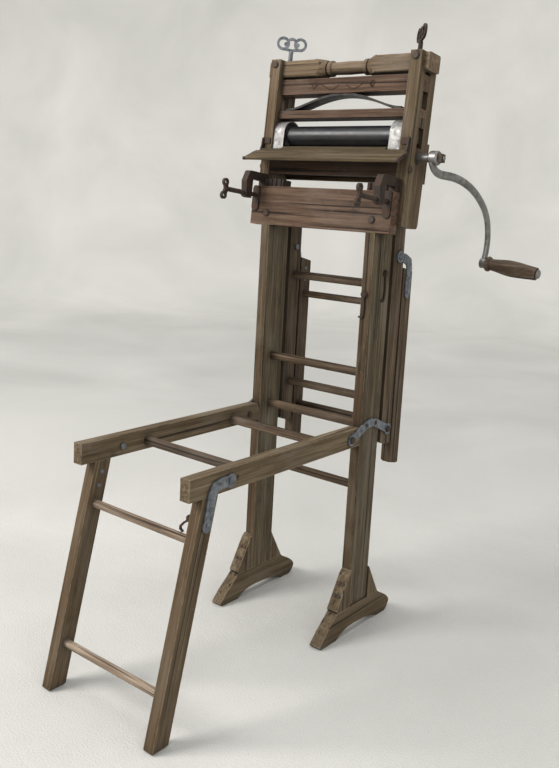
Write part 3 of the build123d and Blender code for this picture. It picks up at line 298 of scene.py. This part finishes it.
def iron(name, dark, brown, seed, rust=0.6, shine=0.0):
    """Dark iron with patchy rust and rubbed edges."""
    g = Graph(name)
    at = g.shifted(seed)
    mottle = g.noise(at, 70.0, 6, 0.7)
    scale = g.noise(at, 260.0, 4, 0.65)
    base = g.mix(g.span(mottle, 0.42, 0.62, 0, rust), dark, brown)
    base = g.mix(g.span(scale, 0.55, 0.75, 0, 0.5), base, times(dark, 0.5))
    base = g.mix(g.math("MULTIPLY", g.edges(IRON_EDGE), 0.55), base, (0.16, 0.145, 0.13))
    # painted shade: near black in corners and under overhangs
    base = g.mix(g.math("MULTIPLY", g.hollows(METAL_CORNER_SHADE), 0.6), base, (0.006, 0.005, 0.004))
    rough = g.span(mottle, 0.3, 0.7, 0.55 - shine, 0.85 - shine)
    height = g.math("ADD", g.math("MULTIPLY", mottle, 0.6), g.math("MULTIPLY", scale, 0.4))
    return g.finish(base, rough, height, 0.0005, 0.45)


def steel(name, seed):
    """Worn bright steel with brown stains and fine scratches."""
    g = Graph(name)
    at = g.shifted(seed)
    mottle = g.noise(at, 38.0, 6, 0.65)
    scratch = g.noise(g.mapped(at, (60, 900, 900)), 1.0, 2)
    base = g.ramp(mottle, (0.30, (0.10, 0.092, 0.082)), (0.52, (0.24, 0.235, 0.225)),
                  (0.75, (0.36, 0.355, 0.34)))
    brown = g.span(g.noise(at, 90.0, 5, 0.7), 0.58, 0.72)
    base = g.mix(g.math("MULTIPLY", brown, 0.55), base, (0.07, 0.045, 0.028))
    # painted shade: near black in corners and under overhangs
    base = g.mix(g.math("MULTIPLY", g.hollows(STEEL_CORNER_SHADE), 0.6), base, (0.02, 0.017, 0.014))
    rough = g.span(mottle, 0.3, 0.7, 0.52, 0.34)
    return g.finish(base, rough, g.math("ADD", mottle, g.math("MULTIPLY", scratch, 0.3)),
                    0.0003, 0.85)


def rubber(name, dark, light, rough_low, rough_high, seed):
    """Old hard rubber: turned bands round the roller, dusty patches and small nicks."""
    g = Graph(name)
    at = g.shifted(seed)
    bands = g.noise(g.mapped(at, (130, 0.6, 0.6)), 1.0, 5, 0.6)
    dust = g.noise(at, 22.0, 6, 0.65)
    nicks = g.span(g.noise(at, 210.0, 3, 0.5), 0.70, 0.78)
    base = g.mix(g.span(dust, 0.40, 0.72), dark, light)
    base = g.mix(g.span(bands, 0.45, 0.75, 0, 0.5), base, light)
    base = g.mix(g.math("MULTIPLY", nicks, 0.6), base, times(light, 1.8))
    base = g.mix(g.math("MULTIPLY", g.edges(RUBBER_EDGE), 0.5), base, times(light, 2.2))
    rough = g.span(dust, 0.35, 0.7, rough_low, rough_high)
    height = g.math("SUBTRACT", g.math("MULTIPLY", bands, 0.8), nicks)
    return g.finish(base, rough, height, 0.0002)


# wood tones: dark, middle and light
OUTER = (srgb(54, 43, 30), srgb(92, 77, 57), srgb(132, 117, 94))
POST = (srgb(49, 40, 29), srgb(84, 73, 55), srgb(124, 112, 91))
REAR = (srgb(44, 34, 24), srgb(76, 62, 46), srgb(114, 98, 77))
RED = (srgb(44, 31, 23), srgb(84, 64, 50), srgb(122, 99, 80))
PALE = (srgb(56, 43, 31), srgb(101, 84, 65), srgb(142, 123, 99))
DOWEL = (srgb(42, 31, 22), srgb(78, 63, 48), srgb(124, 106, 86))
LEGDOWEL = (srgb(78, 62, 50), srgb(130, 112, 94), srgb(184, 168, 148))
APRON = (srgb(43, 34, 23), srgb(77, 64, 45), srgb(118, 102, 76))
HANDLE = (srgb(44, 34, 26), srgb(86, 70, 55), srgb(126, 110, 92))
DARK = (srgb(28, 18, 12), srgb(56, 39, 27), srgb(88, 67, 50))

# CAD node: material name, grain direction, tones, seed, settings of wood()
WOODS = {
    # red: strength of the painted reddish shade on faces turned to the front
    "post_right": ("post_wood", "Z", POST, 1, {"red": 0.9}),
    "post_left": ("post_wood", "Z", POST, 2, {"red": 0.9}),
    "crossboard": ("board_wood", "X", RED, 3, {"fine": 0.8, "worn": 0.6}),
    "post_rungs": ("dowel", "X", DOWEL, 4, {}),
    "shoes": ("foot_wood", "Y", OUTER, 5, {"worn": 0.8}),
    "foot_gussets": ("foot_wood", "Z", OUTER, 6, {"worn": 0.8}),
    "cheek_right": ("cheek_wood", "lean", OUTER, 7, {}),
    "cheek_left": ("cheek_wood", "lean", OUTER, 8, {"red": 0.5}),
    "top_bar": ("pale_wood", "X", PALE, 9, {"worn": 0.6}),
    "pressure_board": ("board_wood", "X", RED, 10, {}),
    "lower_spring_board": ("board_wood", "X", RED, 11, {}),
    "upper_bearings": ("block_wood", "lean", REAR, 12, {}),
    "lower_bearings": ("block_wood", "lean", REAR, 13, {}),
    "apron_board": ("apron_wood", "X", APRON, 14, {"worn": 0.7}),
    "front_rail": ("rail_wood", "X", DARK, 15, {}),
    "rear_board": ("rail_wood", "X", REAR, 16, {}),
    "front_wing_rails": ("wing_wood", "Y", OUTER, 17, {"worn": 0.7}),
    "front_wing_rungs": ("dowel", "X", DOWEL, 18, {}),
    "front_legs": ("leg_wood", "splay", OUTER, 19, {"red": 0.4, "worn": 0.7}),
    "front_leg_rungs": ("leg_dowel", "X", LEGDOWEL, 20, {}),
    "back_wing_rails": ("wing_wood", "Z", REAR, 21, {}),
    "back_wing_rungs": ("dowel", "X", DOWEL, 22, {}),
    "back_legs": ("leg_wood", "Z", REAR, 23, {}),
    "back_leg_rungs": ("dowel", "X", DOWEL, 24, {}),
    "crank_grip": ("grip_wood", "X", HANDLE, 25, {"polish": 0.12, "worn": 0.6}),
}


def paint(name, material):
    """Give a CAD node its material."""
    target = frame["nodes"][name]
    target.data.materials.clear()
    target.data.materials.append(material)
    for face in target.data.polygons:
        face.material_index = 0


def soften(name, width, segments=2, angle=38):
    """Round a CAD node's hard edges a little, as years of handling do."""
    target = frame["nodes"][name]
    bevel = target.modifiers.new("worn_edges", "BEVEL")
    bevel.width = width
    bevel.segments = segments
    bevel.limit_method = "ANGLE"
    bevel.angle_limit = math.radians(angle)


def paint_cad():
    """Materials for every CAD node."""
    for name, (kind, grain, tones, seed, extra) in WOODS.items():
        paint(name, wood(kind, grain, *tones, seed, **extra))
    zinc = galvanised("zinc_casting", srgb(74, 76, 78), srgb(134, 140, 146), 1)
    sheet = galvanised("zinc_sheet", srgb(104, 102, 100), srgb(160, 158, 156), 2, 0.3)
    dull = iron("dark_iron", (0.045, 0.038, 0.032), (0.12, 0.065, 0.036), 3)
    rusty = iron("rusty_iron", (0.026, 0.020, 0.017), (0.085, 0.040, 0.022), 4, 0.75)
    spring = iron("spring_steel", (0.020, 0.018, 0.017), (0.040, 0.030, 0.024), 5, 0.4, 0.1)
    bright = steel("worn_steel", 6)
    groups = {
        zinc: ("hinge_plates", "front_knee_brackets", "back_knee_brackets", "thumb_screw_left",
               "front_knee_rivets", "back_knee_rivets", "front_knee_bolts", "back_knee_bolts"),
        sheet: ("roller_guards",),
        dull: ("bench_screws", "frame_bolts", "screw_nut_plates", "guide_pins", "crank_nut",
               "wing_pivot_bolts"),
        rusty: ("clamp_castings", "clamp_pad_left", "clamp_pad_right", "clamp_screw_left",
                "clamp_screw_right", "thumb_screw_right", "apron_brackets", "apron_end_irons",
                "side_hook", "front_hook", "leg_hook", "hook_eyes", "leg_hook_staple"),
        spring: ("bow_spring",),
        bright: ("crank_arm", "upper_roller_shaft", "lower_roller_shaft", "grip_spindle"),
    }
    for material, names in groups.items():
        for name in names:
            paint(name, material)
    paint("upper_roller_rubber", rubber("black_rubber", (0.008, 0.008, 0.010),
                                        (0.022, 0.021, 0.023), 0.34, 0.50, 7))
    paint("lower_roller_rubber", rubber("grey_rubber", srgb(52, 50, 42), srgb(84, 82, 70),
                                        0.55, 0.75, 8))
    for name in WOODS:
        soften(name, RUNG_ROUND if "rung" in name else WOOD_ROUND)
    for name in ("hinge_plates", "front_knee_brackets", "back_knee_brackets", "clamp_castings",
                 "crank_nut"):
        soften(name, METAL_ROUND)


# ---- added pieces ----
def spring_piece():
    """The bow spring again, as a piece that rides on the roller carriage."""
    source = frame["nodes"]["bow_spring"]
    piece = bpy.data.objects.new("bow_spring_leaf", source.data.copy())
    bpy.context.scene.collection.objects.link(piece)
    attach(piece, "roller_carriage")
    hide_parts("bow_spring")
    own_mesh(piece)


def tube(name, points, radius, body, material, sides=8):
    """A thin round bead along a run of points."""
    mesh = bmesh.new()
    rings = []
    for k, point in enumerate(points):
        ahead = (points[min(k + 1, len(points) - 1)] - points[max(k - 1, 0)]).normalized()
        side = ahead.cross(Vector((0.31, 0.52, 0.79))).normalized()
        up = ahead.cross(side)
        turns = [2 * math.pi * i / sides for i in range(sides)]
        rings.append([mesh.verts.new(point + (side * math.cos(a) + up * math.sin(a)) * radius)
                      for a in turns])
    for one, two in zip(rings, rings[1:]):
        for i in range(sides):
            k = (i + 1) % sides
            mesh.faces.new((one[i], one[k], two[k], two[i])).smooth = True
    mesh.faces.new(rings[0][::-1])
    mesh.faces.new(rings[-1])
    data = bpy.data.meshes.new(name)
    mesh.to_mesh(data)
    mesh.free()
    piece = bpy.data.objects.new(name, data)
    bpy.context.scene.collection.objects.link(piece)
    data.materials.append(material)
    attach(piece, body)


def thread(name, joint, size, body, material):
    """Screw thread: a helical ridge round a turning joint's axis."""
    start, end, radius = size
    axis = Vector(JOINTS[joint]["axis"]).normalized()
    base = Vector(JOINTS[joint]["pos_m"])
    side = axis.cross(Vector((0, 0.6, 0.8))).normalized()
    other = axis.cross(side)
    steps = int((end - start) / THREAD_PITCH * THREAD_STEPS)
    points = []
    for k in range(steps + 1):
        turn = 2 * math.pi * k / THREAD_STEPS
        reach = base + axis * (start + (end - start) * k / steps)
        points.append(reach + (side * math.cos(turn) + other * math.sin(turn)) * radius)
    tube(name, points, THREAD_PITCH * THREAD_BEAD, body, material, 6)


def scroll_points(centre, across, up, mirror):
    """A flourish: a spiral at the outer end that runs in towards the middle as a wave."""
    flat = []
    for k in range(SPIRAL_STEPS + 1):
        turn = 2 * SPIRAL_TURNS * math.pi * k / SPIRAL_STEPS
        grow = SPIRAL_START + SPIRAL_GROWTH * k / SPIRAL_STEPS
        flat.append((SPIRAL_X + grow * math.cos(turn), SPIRAL_Z + grow * math.sin(turn)))
    last = flat[-1]
    for k in range(1, WAVE_STEPS + 1):
        along = k / WAVE_STEPS
        flat.append((last[0] * (1 - along) + WAVE_END * along,
                     last[1] * (1 - along) + WAVE_HEIGHT * math.sin(math.pi * 2.0 * along)))
    return [centre + across * (mirror * x) + up * z for x, z in flat]


def flourishes(material):
    """Two plain cut scrolls on the front of the pressure board."""
    left = Vector(JOINTS["left_screw_turn"]["pos_m"])
    right = Vector(JOINTS["right_screw_turn"]["pos_m"])
    centre = (left + right) / 2 - UP * SCROLL_DROP + OUT * SCROLL_OUT
    for name, mirror in (("scroll_left", -1), ("scroll_right", 1)):
        points = scroll_points(centre, Vector((1, 0, 0)), UP, mirror)
        tube(name, points, SCROLL_BEAD, "pressure_beam", material, 6)


def disc(name, centre, normal, radius, body, material, thick=0.0004):
    """A thin round plug, as for the painted shade in a hole or an inlaid end."""
    step = normal.normalized() * thick
    tube(name, [centre - step, centre + step], radius, body, material, 20)


def small_details():
    """Threads, cut scrolls and a small dark disc on the wing rail, painted shade for a hole in
    the wood.
    """
    # dark wood for the painted shade in a hole
    dark = wood("hole_shade_wood", "Y", *DARK, 31)
    rust = bpy.data.materials["rusty_iron"]
    zinc = bpy.data.materials["zinc_casting"]
    thread("thread_thumb_left", "left_screw_turn", THUMB_THREAD, "left_screw",
           zinc)
    thread("thread_thumb_right", "right_screw_turn", THUMB_THREAD, "right_screw",
           rust)
    for side in ("left", "right"):
        thread(f"thread_clamp_{side}", f"{side}_clamp_turn", CLAMP_THREAD,
               f"{side}_clamp_screw", rust)
    flourishes(wood("cut_wood", "X", *DARK, 32))
    # painted shade: a dark disc on the rail's outer face stands for the shade inside a hole
    # beside the knee joint
    knee = Vector(JOINTS["front_leg_fold"]["pos_m"])
    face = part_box("front_wing_rails")[1].x
    place = Vector((face, knee.y + RAIL_HOLE_AHEAD, knee.z + RAIL_HOLE_ABOVE))
    disc("rail_hole", place, Vector((1, 0, 0)), RAIL_HOLE_RADIUS, "front_wing",
         dark)


# ---- floor, light and camera ----
def backdrop():
    """Seamless pale cloth: a round floor that curves up into a wall all about, with a painted
    glow that grows outward.
    """
    profile = [(reach, 0.0) for reach in (*FLOOR_RINGS, FLOOR_REACH)]
    for step in range(1, SWEEP_STEPS + 1):
        angle = math.pi / 2 * step / SWEEP_STEPS
        profile.append((FLOOR_REACH + SWEEP_RADIUS * math.sin(angle),
                        SWEEP_RADIUS * (1 - math.cos(angle))))
    profile.append((FLOOR_REACH + SWEEP_RADIUS, WALL_TOP))
    mesh = bmesh.new()
    turns = [2 * math.pi * i / BACKDROP_SIDES for i in range(BACKDROP_SIDES)]
    rings = []
    for reach, z in profile:
        rings.append([mesh.verts.new((reach * math.cos(a), reach * math.sin(a), z))
                      for a in turns])
    mesh.faces.new(rings[0])
    for inner, outer in zip(rings, rings[1:]):
        for i in range(BACKDROP_SIDES):
            k = (i + 1) % BACKDROP_SIDES
            mesh.faces.new((inner[i], outer[i], outer[k], inner[k])).smooth = True
    data = bpy.data.meshes.new("backdrop")
    mesh.to_mesh(data)
    mesh.free()
    sweep = bpy.data.objects.new("backdrop", data)
    bpy.context.scene.collection.objects.link(sweep)
    g = Graph("pale_cloth")
    folds = g.noise(g.coords, 1.0, 5, 0.5, 0.5)
    weave = g.noise(g.coords, 240.0, 2)
    base = g.ramp(folds, (0.3, srgb(188, 187, 182)), (0.7, srgb(206, 204, 199)))
    height = g.math("ADD", g.math("MULTIPLY", folds, 12.0), weave)
    data.materials.append(g.finish(base, 0.95, height, 0.0014, Specular_IOR_Level=0.1))
    # painted light: the cloth glows in its own colour, more the farther from the middle,
    # brightening the far floor and wall
    reach = g.node("VectorMath", {0: g.coords}, operation="LENGTH").outputs["Value"]
    glow = g.span(reach, GLOW_START, GLOW_END, 0.0, GLOW)
    g.put(g.shader.inputs["Emission Color"], base)
    g.put(g.shader.inputs["Emission Strength"], glow)


def area_light(name, place, target, size, power, colour):
    """A rectangular lamp at a place, aimed at a point."""
    data = bpy.data.lights.new(name, "AREA")
    data.shape = "RECTANGLE"
    data.size, data.size_y = size
    data.energy = power
    data.color = colour
    lamp = bpy.data.objects.new(name, data)
    lamp.location = place
    lamp.rotation_euler = (Vector(target) - Vector(place)).to_track_quat("-Z", "Y").to_euler()
    bpy.context.scene.collection.objects.link(lamp)


def lights():
    """Soft studio light: a broad key from the front left, a fill and a pale surround."""
    world = bpy.data.worlds.new("surround")
    bpy.context.scene.world = world
    world.use_nodes = True
    background = world.node_tree.nodes["Background"]
    background.inputs[0].default_value = SURROUND_COLOUR
    background.inputs[1].default_value = SURROUND_STRENGTH
    for row in LIGHTS:
        area_light(*row)


def camera():
    """The main view: from the front right, at the crossboard's height, tipped down a little."""
    yaw, pitch, roll = (math.radians(a) for a in (CAMERA_YAW, CAMERA_PITCH, CAMERA_ROLL))
    ahead = Vector((-math.sin(yaw) * math.cos(pitch), math.cos(yaw) * math.cos(pitch),
                    math.sin(pitch)))
    right = Vector((math.cos(yaw), math.sin(yaw), 0))
    up = right.cross(ahead)
    across = right * math.cos(roll) + up * math.sin(roll)
    rise = -right * math.sin(roll) + up * math.cos(roll)
    data = bpy.data.cameras.new("camera")
    data.lens = CAMERA_LENS
    data.sensor_width = CAMERA_SENSOR
    data.shift_y = CAMERA_SHIFT
    seat = bpy.data.objects.new("camera", data)
    seat.matrix_world = Matrix.Translation(CAMERA_PLACE) @ Matrix(
        (across, rise, -ahead)).transposed().to_4x4()
    bpy.context.scene.collection.objects.link(seat)
    bpy.context.scene.camera = seat


paint_cad()
spring_piece()
small_details()
backdrop()
lights()
camera()
bpy.context.scene.view_settings.view_transform = "Standard"
